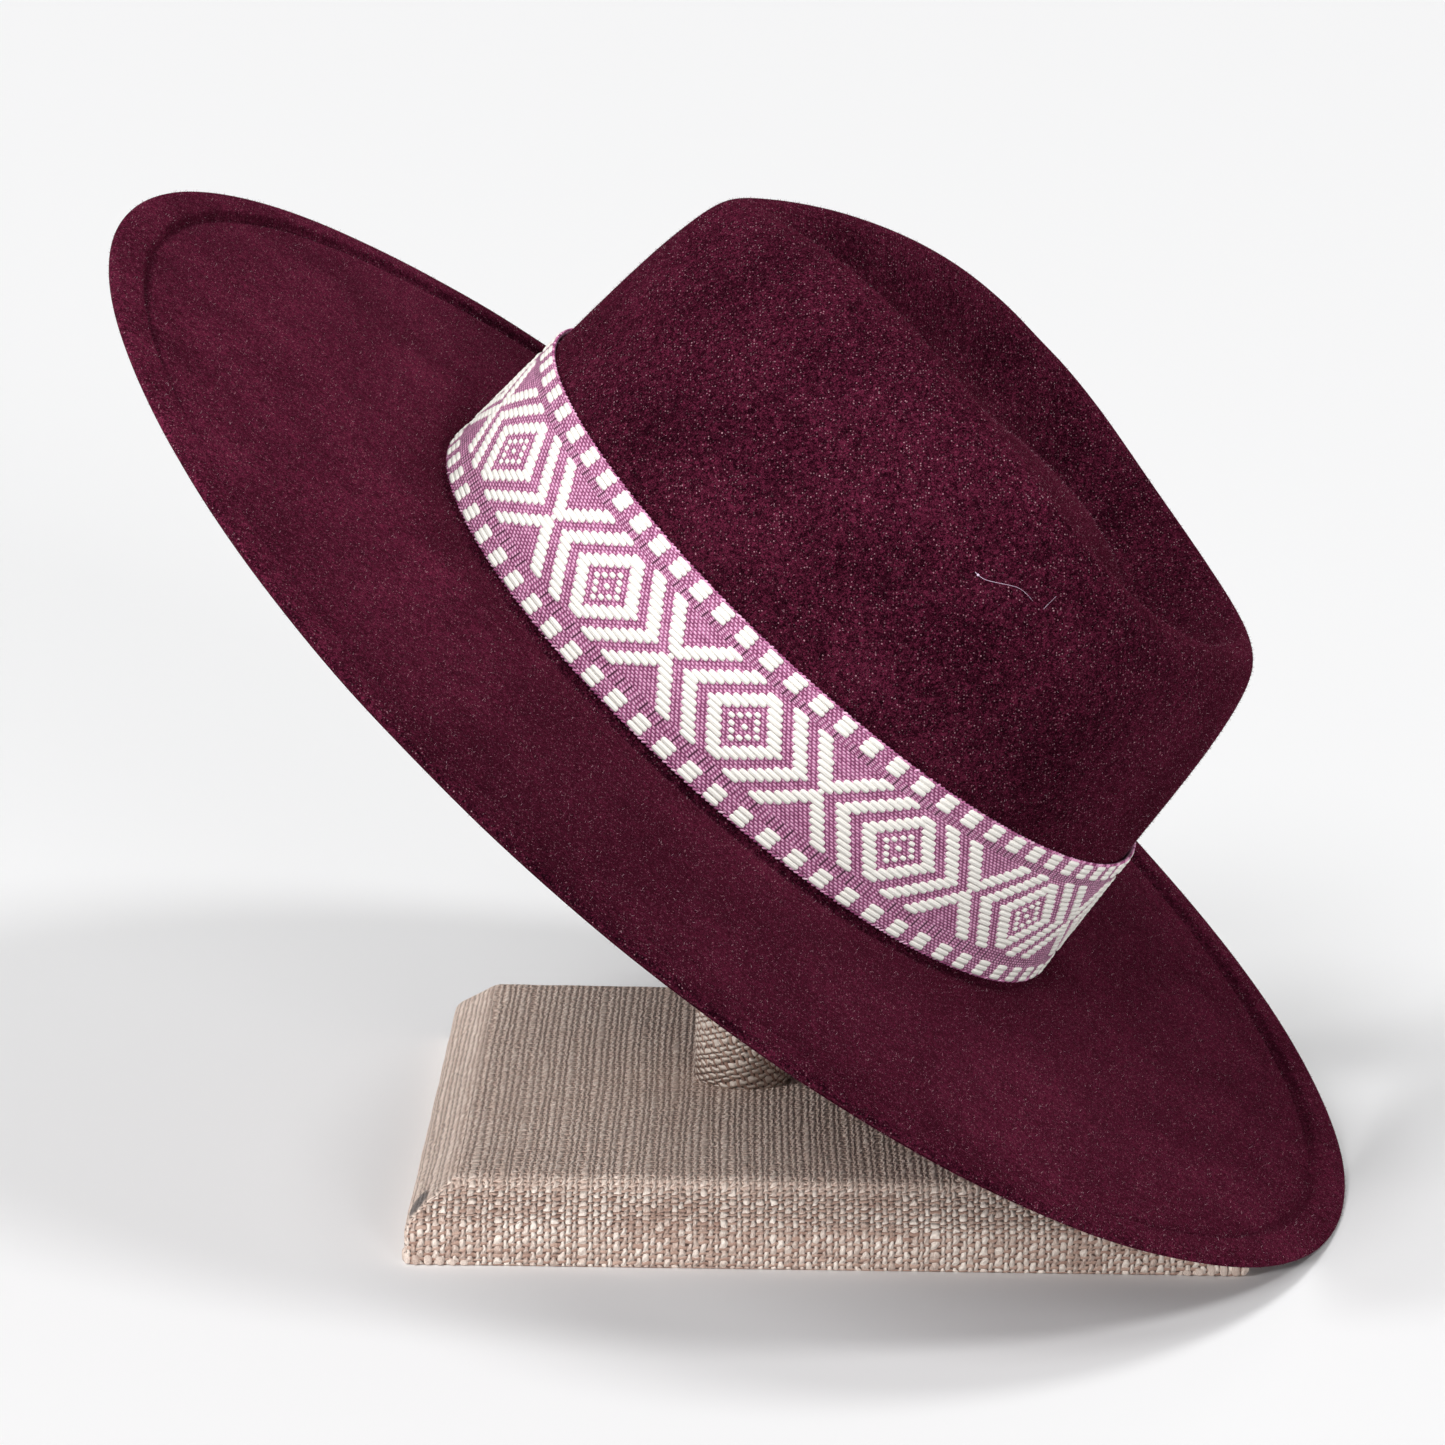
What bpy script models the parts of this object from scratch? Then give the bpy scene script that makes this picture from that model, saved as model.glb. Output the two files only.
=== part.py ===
"""A felt fedora with a woven band, leaning on its linen-covered display stand.

Metres, +Z up. The origin is the centre of the stand's underside, and +X is to the right as the hat
is seen with its raised front on the left. The back of the brim comes down to the ground beside the
stand, and a round-headed post carries the crown from inside.

In the hat's own frame +X is its front, +Z runs up the crown, and the origin is the middle of the
head opening, level with the top of the brim where it meets the crown.
"""

import math

import bmesh
import bpy
from mathutils import Euler, Matrix, Vector
from mathutils.bvhtree import BVHTree

# Felt body, outside sizes
HEAD_HALF_LENGTH = 0.1009
HEAD_HALF_WIDTH = 0.0886
CROWN_HEIGHT = 0.1130
BRIM_WIDTH = 0.1006
FELT_THICKNESS = 0.0022

# Teardrop crease in the top of the crown, a gutter inside the crest with a low dome in the middle
CREASE_DEPTH = 0.0200

# Height of the brim's edge over its root. The front is snapped down and the back turned up.
BRIM_FRONT_RISE = -0.0079
BRIM_SIDE_RISE = -0.0052
BRIM_BACK_RISE = 0.0077
BRIM_BEND_POWER = 1.4

# Turned edge of the brim, a second layer of felt sewn down along a groove
WELT_WIDTH = 0.0108
WELT_RISE = 0.0019
WELT_EDGE_ROUNDING = 0.0018
GROOVE_WIDTH = 0.0028
GROOVE_DEPTH = 0.0005

# Woven band round the foot of the crown
BAND_WIDTH = 0.0392
BAND_THICKNESS = 0.0014
BAND_LIFT = 0.0010
BAND_CLEARANCE = 0.0003

# Display stand
BASE_LENGTH = 0.2095
BASE_DEPTH = 0.2095
BASE_WALL_HEIGHT = 0.0103
BASE_SLOPE_HEIGHT = 0.0095
BASE_SLOPE_WIDTH = 0.0124
BASE_EDGE_RADIUS = 0.0020
POST_RADIUS = 0.0132
POST_OFFSET = -0.0210
POST_CLEARANCE = 0.0003

# How the hat lies: its front raised, its crown leaning a little towards the viewer
HAT_FRONT_RAISED = math.radians(40.45)
HAT_SIDE_LEAN = math.radians(-7.88)
HAT_HEADING = math.radians(181.14)
HAT_X = -0.0215
HAT_Y = -0.0286
HAT_CLEARANCE = 0.0004

# Steps round the hat, up the band, round the base's soft edges, round the post and over its head
HAT_STEPS = 60
BAND_STEPS = 3
BASE_EDGE_STEPS = 3
POST_STEPS = 32
POST_HEAD_STEPS = 6

# Edges that turn more than this stay crisp in the shading, and on the base they are softened
CRISP_ANGLE = math.radians(50)
BASE_SOFTENED_ANGLE = math.radians(20)
MERGE_DISTANCE = 0.00001

# Grid over the base on which the room between stand and felt is measured, just inside its edges
SCAN_STEPS = 100
SCAN_SHARE = 0.999
ABOVE_ALL = 1.0

# Crown wall from the brim up to the crest. height is a share of the crest's height, front and back
# of HEAD_HALF_LENGTH, width of HEAD_HALF_WIDTH. pinch draws in the front, full rounds the back.
CROWN_SECTIONS = (
    # height, front, back, width, pinch, full
    (0.000, 1.000, 1.000, 1.000, 0.00, 0.00),
    (0.130, 0.990, 0.985, 0.997, 0.00, 0.00),
    (0.270, 0.982, 0.971, 0.993, 0.01, 0.00),
    (0.410, 0.974, 0.958, 0.986, 0.03, 0.01),
    (0.540, 0.966, 0.947, 0.970, 0.08, 0.02),
    (0.670, 0.956, 0.935, 0.943, 0.17, 0.04),
    (0.780, 0.944, 0.921, 0.908, 0.28, 0.06),
    (0.870, 0.929, 0.904, 0.867, 0.39, 0.09),
    (0.935, 0.912, 0.883, 0.825, 0.50, 0.11),
    (0.978, 0.886, 0.852, 0.785, 0.59, 0.13),
    (1.000, 0.846, 0.802, 0.742, 0.66, 0.15),
)
PINCH_POWER = 1.5

# Height of the crest as shares of CROWN_HEIGHT, at four even steps from the front to the back
CREST_HEIGHTS = (0.888, 1.000, 0.933, 0.889)

# Crease from the crest to its middle. inset is the share of the way out to the crest that is left,
# drop a share of CREASE_DEPTH.
CREASE_SECTIONS = (
    # inset, drop
    (0.950, 0.07),
    (0.900, 0.26),
    (0.855, 0.52),
    (0.805, 0.77),
    (0.750, 0.94),
    (0.680, 1.00),
    (0.570, 0.92),
    (0.430, 0.75),
    (0.270, 0.58),
    (0.120, 0.49),
)
CREASE_MIDDLE_DROP = 0.47
CREASE_MIDDLE_ALONG = -0.33

# Brim from its root to the groove, as shares of the width between them
BRIM_STEPS = (0.05, 0.20, 0.40, 0.62, 0.83)

# Welt from the groove outwards. across is a share of WELT_WIDTH, over of WELT_RISE.
WELT_SECTIONS = (
    # across, over
    (0.13, 0.75),
    (0.40, 1.00),
    (0.72, 0.97),
)

# Base colour and roughness of each finish
FINISHES = {
    "wine_felt": ((0.115, 0.013, 0.040), 0.95),
    "woven_band": ((0.62, 0.40, 0.50), 0.85),
    "linen": ((0.42, 0.34, 0.28), 0.90),
}


def clear_scene():
    for thing in list(bpy.data.objects):
        bpy.data.objects.remove(thing)


def make_material(name):
    colour, roughness = FINISHES[name]
    material = bpy.data.materials.new(name)
    material.use_nodes = True
    shader = material.node_tree.nodes["Principled BSDF"]
    shader.inputs["Base Color"].default_value = (*colour, 1.0)
    shader.inputs["Roughness"].default_value = roughness
    shader.inputs["Metallic"].default_value = 0.0
    return material


def through_four(values, share):
    """Cubic through four values that are evenly spaced from share 1 down to share -1."""
    places = (1.0, 1.0 / 3.0, -1.0 / 3.0, -1.0)
    total = 0.0
    for i, value in enumerate(values):
        weight = 1.0
        for j, place in enumerate(places):
            if j != i:
                weight *= (share - place) / (places[i] - place)
        total += weight * value
    return total


def crest_height(along):
    """Height of the crest, where along runs from 1 at the front to -1 at the back."""
    return CROWN_HEIGHT * through_four(CREST_HEIGHTS, along)


def crown_point(angle, section):
    """Point of a crown section in this direction, on an oval that turns into a teardrop."""
    height, front, back, width, pinch, full = section
    along, across = math.cos(angle), math.sin(angle)
    if along > 0.0:
        swell = 1.0 - pinch * along**PINCH_POWER
    else:
        swell = 1.0 - full * 4.0 * along * (1.0 + along)
    x = HEAD_HALF_LENGTH * (front if along > 0.0 else back) * along
    y = HEAD_HALF_WIDTH * width * across * swell
    return Vector((x, y, crest_height(along) * height))


def crease_point(angle, inset, drop):
    """Point of the crease: the crest's outline drawn in, and sunk below the crest's height there."""
    crest = crown_point(angle, CROWN_SECTIONS[-1])
    middle = HEAD_HALF_LENGTH * CREASE_MIDDLE_ALONG
    x = middle + (crest.x - middle) * inset
    along = math.cos(angle) * inset + CREASE_MIDDLE_ALONG * (1.0 - inset)
    return Vector((x, crest.y * inset, crest_height(along) - CREASE_DEPTH * drop))


def brim_rise(angle):
    """Height of the brim's edge over its root in this direction."""
    along = math.cos(angle)
    tilt = (BRIM_FRONT_RISE - BRIM_BACK_RISE) / 2
    bow = (BRIM_FRONT_RISE + BRIM_BACK_RISE) / 2 - BRIM_SIDE_RISE
    return BRIM_SIDE_RISE + tilt * along + bow * along**2


def brim_point(angle, distance, over=0.0):
    """Point of the brim this far out from the crown, raised by over."""
    root = crown_point(angle, CROWN_SECTIONS[0])
    across, along = HEAD_HALF_LENGTH * math.sin(angle), HEAD_HALF_WIDTH * math.cos(angle)
    outward = Vector((along, across, 0.0)).normalized()
    bend = (distance / BRIM_WIDTH) ** BRIM_BEND_POWER
    return root + outward * distance + Vector((0.0, 0.0, brim_rise(angle) * bend + over))


def welt_profile():
    """Distances from the crown and heights over the brim, across the groove and the welt."""
    inner = BRIM_WIDTH - WELT_WIDTH
    shoulder = WELT_SECTIONS[-1][1] * WELT_RISE
    profile = [(inner - GROOVE_WIDTH / 2, 0.0), (inner, -GROOVE_DEPTH)]
    profile += [(inner + WELT_WIDTH * across, WELT_RISE * over) for across, over in WELT_SECTIONS]
    for turn in (math.radians(45), math.radians(90)):
        run = WELT_EDGE_ROUNDING * (1.0 - math.sin(turn))
        fall = WELT_EDGE_ROUNDING * (1.0 - math.cos(turn))
        profile.append((BRIM_WIDTH - run, shoulder - fall))
    return profile


def angles():
    return [2.0 * math.pi * i / HAT_STEPS for i in range(HAT_STEPS)]


def skin_rings(mesh, rings):
    """Adds each ring's points and the quads between neighbouring rings."""
    rows = [[mesh.verts.new(point) for point in ring] for ring in rings]
    for first, second in zip(rows, rows[1:]):
        for i in range(HAT_STEPS):
            j = (i + 1) % HAT_STEPS
            mesh.faces.new((first[i], second[i], second[j], first[j]))
    return rows


def finish_object(name, mesh, material, collection, parent=None):
    data = bpy.data.meshes.new(name)
    mesh.to_mesh(data)
    mesh.free()
    data.shade_smooth()
    data.set_sharp_from_angle(angle=CRISP_ANGLE)
    data.materials.append(material)
    thing = bpy.data.objects.new(name, data)
    collection.objects.link(thing)
    thing.parent = parent
    return thing


def add_wall(thing, thickness, offset):
    wall = thing.modifiers.new("wall", "SOLIDIFY")
    wall.thickness = thickness
    wall.offset = offset
    wall.use_even_offset = True
    return wall


def make_felt_body(material, collection, parent):
    """Crown and brim, one piece of blocked felt, with the crease and the turned edge."""
    to_groove = BRIM_WIDTH - WELT_WIDTH - GROOVE_WIDTH / 2
    welt = welt_profile()
    rings = [[crease_point(a, *row) for a in angles()] for row in reversed(CREASE_SECTIONS)]
    rings += [[crown_point(a, row) for a in angles()] for row in reversed(CROWN_SECTIONS)]
    rings += [[brim_point(a, to_groove * share) for a in angles()] for share in BRIM_STEPS]
    rings += [[brim_point(a, *step) for a in angles()] for step in welt]
    thicknesses = [FELT_THICKNESS] * (len(rings) - len(welt))
    thicknesses += [FELT_THICKNESS + over for distance, over in welt]

    mesh = bmesh.new()
    rows = skin_rings(mesh, rings)
    middle = mesh.verts.new(crease_point(0.0, 0.0, CREASE_MIDDLE_DROP))
    for i in range(HAT_STEPS):
        mesh.faces.new((middle, rows[0][i], rows[0][(i + 1) % HAT_STEPS]))
    mesh.verts.index_update()
    row_indices = [[v.index for v in row] for row in rows]
    body = finish_object("felt_body", mesh, material, collection, parent)

    thickest = FELT_THICKNESS + WELT_RISE
    group = body.vertex_groups.new(name="thickness")
    group.add([len(body.data.vertices) - 1], FELT_THICKNESS / thickest, "REPLACE")
    for indices, thickness in zip(row_indices, thicknesses):
        group.add(indices, thickness / thickest, "REPLACE")
    wall = add_wall(body, thickest, -1.0)
    wall.vertex_group = group.name
    return body


def wall_point(angle, distance):
    """Point on the crown's wall at a distance up from the brim, along the felt."""
    points = [crown_point(angle, row) for row in CROWN_SECTIONS]
    for low, high in zip(points, points[1:]):
        step = (high - low).length
        if distance <= step:
            return low.lerp(high, distance / step)
        distance -= step
    return points[-1]


def make_band(material, collection, parent):
    """Woven band: a loop of even width that stands off the crown by its clearance."""
    lifts = [BAND_LIFT + BAND_WIDTH * i / BAND_STEPS for i in range(BAND_STEPS + 1)]
    mesh = bmesh.new()
    skin_rings(mesh, [[wall_point(a, lift) for a in angles()] for lift in reversed(lifts)])
    mesh.normal_update()
    for v in mesh.verts:
        v.co += v.normal * BAND_CLEARANCE
    band = finish_object("hat_band", mesh, material, collection, parent)
    add_wall(band, BAND_THICKNESS, 1.0)
    return band


def make_base(material, collection):
    """Covered slab with an upright edge and sloping borders up to its flat top."""
    size = Matrix.Diagonal((BASE_LENGTH, BASE_DEPTH, BASE_WALL_HEIGHT, 1.0))
    lift = Matrix.Translation((0.0, 0.0, BASE_WALL_HEIGHT / 2))
    mesh = bmesh.new()
    bmesh.ops.create_cube(mesh, size=1.0, matrix=lift @ size)
    top = max(mesh.faces, key=lambda face: face.calc_center_median().z)
    raised = bmesh.ops.extrude_face_region(mesh, geom=[top])["geom"]
    bmesh.ops.delete(mesh, geom=[top], context="FACES_ONLY")
    corners = [item for item in raised if isinstance(item, bmesh.types.BMVert)]
    shrink_x = 1.0 - 2.0 * BASE_SLOPE_WIDTH / BASE_LENGTH
    shrink_y = 1.0 - 2.0 * BASE_SLOPE_WIDTH / BASE_DEPTH
    bmesh.ops.scale(mesh, vec=(shrink_x, shrink_y, 1.0), verts=corners)
    bmesh.ops.translate(mesh, vec=(0.0, 0.0, BASE_SLOPE_HEIGHT), verts=corners)
    bmesh.ops.recalc_face_normals(mesh, faces=mesh.faces)
    base = finish_object("stand_base", mesh, material, collection)
    soft = base.modifiers.new("soft_edges", "BEVEL")
    soft.width = BASE_EDGE_RADIUS
    soft.segments = BASE_EDGE_STEPS
    soft.limit_method = "ANGLE"
    soft.angle_limit = BASE_SOFTENED_ANGLE
    return base


def surface_of(thing):
    """Search tree of an object's finished surface in world coordinates, and its lowest height."""
    bpy.context.view_layer.update()
    evaluated = thing.evaluated_get(bpy.context.evaluated_depsgraph_get())
    data = evaluated.to_mesh()
    corners = [evaluated.matrix_world @ v.co for v in data.vertices]
    tree = BVHTree.FromPolygons(corners, [tuple(p.vertices) for p in data.polygons])
    evaluated.to_mesh_clear()
    return tree, min(corner.z for corner in corners)


def lower_hat(pose, body, base):
    """Sets the hat down until its brim all but touches the ground or the stand's base."""
    felt, room = surface_of(body)
    slab = surface_of(base)[0]
    up, down = Vector((0.0, 0.0, 1.0)), Vector((0.0, 0.0, -1.0))
    shares = [SCAN_SHARE * (i / SCAN_STEPS - 0.5) for i in range(SCAN_STEPS + 1)]
    for x in (BASE_LENGTH * share for share in shares):
        for y in (BASE_DEPTH * share for share in shares):
            floor = slab.ray_cast(Vector((x, y, ABOVE_ALL)), down)[0]
            roof = felt.ray_cast(Vector((x, y, 0.0)), up)[0]
            if floor is not None and roof is not None:
                room = min(room, roof.z - floor.z)
    pose.location.z += HAT_CLEARANCE - room


def post_head():
    """Radii on the post's round head and their depths below its tip, from the tip down."""
    for i in range(POST_HEAD_STEPS + 1):
        slope = math.radians(90.0) * i / POST_HEAD_STEPS
        yield POST_RADIUS * math.sin(slope), POST_RADIUS * (1.0 - math.cos(slope))


def height_under_felt(body):
    """Height of the post's tip at which its head meets the inside of the crown."""
    felt = surface_of(body)[0]
    tips = []
    for radius, depth in post_head():
        for i in range(POST_STEPS):
            turn = 2.0 * math.pi * i / POST_STEPS
            x, y = POST_OFFSET + radius * math.cos(turn), radius * math.sin(turn)
            roof = felt.ray_cast(Vector((x, y, 0.0)), Vector((0.0, 0.0, 1.0)))[0]
            tips.append(roof.z + depth)
    return min(tips)


def make_post(body, material, collection):
    """Covered post with a round head, from the stand's top up to the inside of the crown."""
    foot = BASE_WALL_HEIGHT + BASE_SLOPE_HEIGHT + POST_CLEARANCE
    tip = height_under_felt(body) - POST_CLEARANCE
    profile = [(radius, tip - depth) for radius, depth in post_head()]
    profile += [(POST_RADIUS, foot), (0.0, foot)]
    mesh = bmesh.new()
    line = [mesh.verts.new((radius, 0.0, height)) for radius, height in profile]
    for first, second in zip(line, line[1:]):
        mesh.edges.new((first, second))
    post = finish_object("stand_post", mesh, material, collection)
    post.location = (POST_OFFSET, 0.0, 0.0)
    turn = post.modifiers.new("turned", "SCREW")
    turn.steps = POST_STEPS
    turn.render_steps = POST_STEPS
    turn.use_merge_vertices = True
    turn.merge_threshold = MERGE_DISTANCE
    return post


def main():
    clear_scene()
    collection = bpy.data.collections.new("fedora_on_stand")
    bpy.context.scene.collection.children.link(collection)
    finishes = {name: make_material(name) for name in FINISHES}

    pose = bpy.data.objects.new("hat_pose", None)
    collection.objects.link(pose)
    pose.rotation_euler = Euler((HAT_SIDE_LEAN, -HAT_FRONT_RAISED, HAT_HEADING))
    pose.location = (HAT_X, HAT_Y, HEAD_HALF_LENGTH + BRIM_WIDTH)

    body = make_felt_body(finishes["wine_felt"], collection, pose)
    make_band(finishes["woven_band"], collection, pose)
    base = make_base(finishes["linen"], collection)
    lower_hat(pose, body, base)
    make_post(body, finishes["linen"], collection)


main()
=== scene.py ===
import math

import bmesh
import bpy
import numpy as np
from mathutils import Euler, Matrix, Vector, noise
from mathutils.bvhtree import BVHTree


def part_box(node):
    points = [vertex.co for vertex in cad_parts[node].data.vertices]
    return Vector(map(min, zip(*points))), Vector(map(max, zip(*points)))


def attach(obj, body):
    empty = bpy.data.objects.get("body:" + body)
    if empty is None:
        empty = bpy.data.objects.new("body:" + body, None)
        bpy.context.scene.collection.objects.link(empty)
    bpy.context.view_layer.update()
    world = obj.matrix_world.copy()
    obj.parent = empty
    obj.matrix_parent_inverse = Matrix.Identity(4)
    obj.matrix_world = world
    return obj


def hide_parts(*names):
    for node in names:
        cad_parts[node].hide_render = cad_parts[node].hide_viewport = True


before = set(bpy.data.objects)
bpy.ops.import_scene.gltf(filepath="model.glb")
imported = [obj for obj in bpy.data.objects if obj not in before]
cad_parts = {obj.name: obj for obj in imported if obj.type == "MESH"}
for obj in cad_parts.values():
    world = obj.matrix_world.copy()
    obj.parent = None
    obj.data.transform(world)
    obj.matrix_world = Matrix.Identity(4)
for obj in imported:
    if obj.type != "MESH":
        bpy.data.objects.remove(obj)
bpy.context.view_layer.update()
print("frame loaded:", sorted(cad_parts))

mm = 0.001
bpy.context.scene.view_settings.view_transform = "Standard"


def linked(name, data):  # a new object in the scene
    thing = bpy.data.objects.new(name, data)
    bpy.context.scene.collection.objects.link(thing)
    return thing


# Camera, at the photograph's angle

camera = {
    "place": (-0.0189, -1.2905, 0.3918),
    "turn": 0.40,  # degrees round the vertical, to the left
    "down": 12.04,  # degrees below level
    "roll": 0.69,
    "framePixels": 1445,
    "focalPixels": 5000,
    "sensor": 36.0,
    "reach": (0.05, 50.0),  # nearest and farthest, in metres
}


def rotation(degrees, axis):
    return Matrix.Rotation(math.radians(degrees), 4, axis)


def cameraMatrix():
    aim = rotation(camera["turn"], "Z") @ rotation(90 - camera["down"], "X") @ rotation(camera["roll"], "Z")
    return Matrix.Translation(camera["place"]) @ aim


def makeCamera():
    data = bpy.data.cameras.new("view")
    data.sensor_width = camera["sensor"]
    data.lens = camera["focalPixels"] / camera["framePixels"] * camera["sensor"]
    data.clip_start, data.clip_end = camera["reach"]
    thing = linked("view", data)
    thing.matrix_world = cameraMatrix()
    bpy.context.scene.camera = thing


def rayThrough(pixel):  # from the camera through a pixel of the photograph's frame
    half = camera["framePixels"] / 2
    aim = Vector((pixel[0] - half, half - pixel[1], -camera["focalPixels"]))
    matrix = cameraMatrix()
    return matrix.to_translation(), (matrix.to_3x3() @ aim).normalized()


makeCamera()
print("camera placed")


# Node maths, written as sums

class Wire:
    def __init__(self, tree, socket=None):
        self.tree = tree
        self.socket = socket

    def add(self, kind, settings=None, inputs=None, output=0):  # any node, set first and then fed
        node = self.tree.nodes.new(kind)
        for name, value in (settings or {}).items():
            if name == "stops":
                self.setStops(node.color_ramp, value)
            else:
                setattr(node, name, value)
        for name, value in (inputs or {}).items():
            if isinstance(value, Wire):
                self.tree.links.new(value.socket, node.inputs[name])
            else:
                node.inputs[name].default_value = value
        return Wire(self.tree, node.outputs[output] if len(node.outputs) else None)

    @staticmethod
    def setStops(ramp, stops):
        while len(ramp.elements) < len(stops):
            ramp.elements.new(1.0)
        for element, (place, colour) in zip(ramp.elements, stops):
            element.position = place
            element.color = (*colour, 1.0)

    def maths(self, operation, *others):
        return self.add("ShaderNodeMath", {"operation": operation}, dict(enumerate((self, *others))))

    def __add__(self, other):
        return self.maths("ADD", other)

    def __sub__(self, other):
        return self.maths("SUBTRACT", other)

    def __rsub__(self, other):
        return self.add("ShaderNodeMath", {"operation": "SUBTRACT"}, {0: other, 1: self})

    def __mul__(self, other):
        return self.maths("MULTIPLY", other)

    def __truediv__(self, other):
        return self.maths("DIVIDE", other)

    def __pow__(self, other):
        return self.maths("POWER", other)

    __radd__ = __add__
    __rmul__ = __mul__

    def fract(self):
        return self.maths("FRACT")

    def floor(self):
        return self.maths("FLOOR")

    def size(self):
        return self.maths("ABSOLUTE")

    def within(self):  # from -1 to 1 across each whole step
        return (self.fract() - 0.5) * 2

    def step(self, low, high):  # 0 below low, 1 above high, smooth between
        settings = {"interpolation_type": "SMOOTHSTEP", "clamp": True}
        inputs = {"Value": self, "From Min": low, "From Max": high}
        return self.add("ShaderNodeMapRange", settings, inputs)

    def mix(self, first, second):  # a colour between two, with this as the share
        inputs = {0: self, 6: asColour(first), 7: asColour(second)}
        return self.add("ShaderNodeMix", {"data_type": "RGBA"}, inputs, output=2)

    def times(self, factor):  # a colour made lighter or darker
        return self.add("ShaderNodeVectorMath", {"operation": "SCALE"}, {0: self, "Scale": factor})

    def part(self, axis):
        return self.add("ShaderNodeSeparateXYZ", None, {0: self}, output="XYZ".index(axis))

    def other(self, output):  # another output of the same node
        return Wire(self.tree, self.socket.node.outputs[output])


def asColour(value):
    return value if isinstance(value, Wire) else (*value, 1.0)


class Finish:  # one material and its shader
    def __init__(self, name, constants):
        self.material = bpy.data.materials.new(name)
        self.material.use_nodes = True
        self.tree = self.material.node_tree
        self.shader = self.tree.nodes["Principled BSDF"]
        self.add = Wire(self.tree).add
        for socket, value in constants.items():
            self.shader.inputs[socket].default_value = value

    def feed(self, socket, wire):
        self.tree.links.new(wire.socket, self.shader.inputs[socket])

    def place(self):  # object coordinates, in metres
        return self.add("ShaderNodeTexCoord", output=3)

    def sheetPlace(self, name):
        return self.add("ShaderNodeUVMap", {"uv_map": name})

    def value(self, name):  # a number kept at each point of the mesh
        return self.add("ShaderNodeAttribute", {"attribute_name": name}, output=2)

    def speckle(self, where, perMetre, detail=2.0, roughness=0.5, distortion=0.0):
        inputs = {"Vector": where, "Scale": perMetre, "Detail": detail, "Roughness": roughness,
                  "Distortion": distortion}
        return self.add("ShaderNodeTexNoise", None, inputs)

    def scaled(self, where, factors, turn=0.0):  # a place stretched, and turned in degrees, for a pattern
        inputs = {"Vector": where, "Scale": factors, "Rotation": (0.0, 0.0, math.radians(turn))}
        return self.add("ShaderNodeMapping", {"vector_type": "POINT"}, inputs)

    def away(self, where, point=(0.0, 0.0, 0.0)):  # how far a place is from a point
        inputs = {0: where, 1: tuple(point)}
        return self.add("ShaderNodeVectorMath", {"operation": "DISTANCE"}, inputs, output=1)

    def chance(self, first, second):  # one random number for each pair of whole numbers
        cell = self.add("ShaderNodeCombineXYZ", None, {0: first, 1: second})
        return self.add("ShaderNodeTexWhiteNoise", {"noise_dimensions": "2D"}, {"Vector": cell})

    def dots(self, where, perMetre, core, edge, rarity):  # round dots, most of them faint and a few bright
        cells = {"Vector": where, "Scale": perMetre}
        away = self.add("ShaderNodeTexVoronoi", None, cells)
        luck = self.add("ShaderNodeTexVoronoi", None, cells, output=1).part("X")
        return (1 - away.step(core, edge)) * luck ** rarity

    def ramp(self, wire, stops):
        return self.add("ShaderNodeValToRGB", {"stops": stops}, {0: wire})

    def bump(self, height, distance, strength=1.0):
        inputs = {"Strength": strength, "Distance": distance, "Height": height}
        return self.add("ShaderNodeBump", None, inputs)


# Mesh helpers

def newPiece(name, mesh, material, replaced=()):
    thing = linked(name, mesh)
    mesh.materials.clear()
    if material:
        mesh.materials.append(material)
    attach(thing, "root")
    if replaced:
        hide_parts(*replaced)
    return thing


def meshFrom(bm, name):
    mesh = bpy.data.meshes.new(name)
    bm.to_mesh(mesh)
    bm.free()
    mesh.shade_smooth()
    return mesh


def merge(bm, reach=0.01 * mm):  # makes corners that lie on each other one
    bmesh.ops.remove_doubles(bm, verts=bm.verts, dist=reach)


def chart(bm, name, rule):  # a UV map, by a rule for a corner of a face
    layer = bm.loops.layers.uv.new(name)
    for face in bm.faces:
        for loop in face.loops:
            loop[layer].uv = rule(face, loop.vert.co)


def mergedCopy(node):  # a CAD node's surface as quads, with its corners shared
    bm = bmesh.new()
    bm.from_mesh(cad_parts[node].data)
    merge(bm)
    bmesh.ops.join_triangles(bm, faces=bm.faces, angle_face_threshold=math.radians(60),
                             angle_shape_threshold=math.radians(180), topology_influence=1.0)
    for layer in list(bm.loops.layers.uv):
        bm.loops.layers.uv.remove(layer)
    return bm


def finished(thing):  # the mesh with its modifiers carried out
    bpy.context.view_layer.update()
    graph = bpy.context.evaluated_depsgraph_get()
    return bpy.data.meshes.new_from_object(thing.evaluated_get(graph))


def settle(thing):  # carries out the modifiers for good
    mesh = finished(thing)
    thing.modifiers.clear()
    thing.data = mesh
    return thing


def numbersOf(items, name, width=3):  # a place or a number of each corner or face
    values = np.zeros(len(items) * width)
    items.foreach_get(name, values)
    return values.reshape(-1, width).squeeze()


def cornersOf(mesh):
    return numbersOf(mesh.vertices, "co")


def keep(mesh, name, values, kind="FLOAT", domain="POINT"):  # numbers kept on a mesh
    layer = mesh.attributes.new(name, kind, domain)
    layer.data.foreach_set("vector" if kind == "FLOAT_VECTOR" else "value", np.array(values).ravel())


# How the hat lies: its own frame has +X to its front and +Z up the crown

hat = {
    "lean": -7.88,
    "raised": 40.45,
    "heading": 181.14,
    "middle": (-0.0215, -0.0286, 0.1268),  # middle of the head opening
}
hatTurn = Euler([math.radians(a) for a in (hat["lean"], -hat["raised"], hat["heading"])]).to_matrix()
hatMatrix = Matrix.Translation(hat["middle"]) @ hatTurn.to_4x4()
hatUp = np.array(hatTurn)[:, 2]


def inHat(places):  # world places in the hat's own frame
    return (places - np.array(hat["middle"])) @ np.array(hatTurn)


def surfaceOf(thing):
    return BVHTree.FromObject(thing, bpy.context.evaluated_depsgraph_get())


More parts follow.
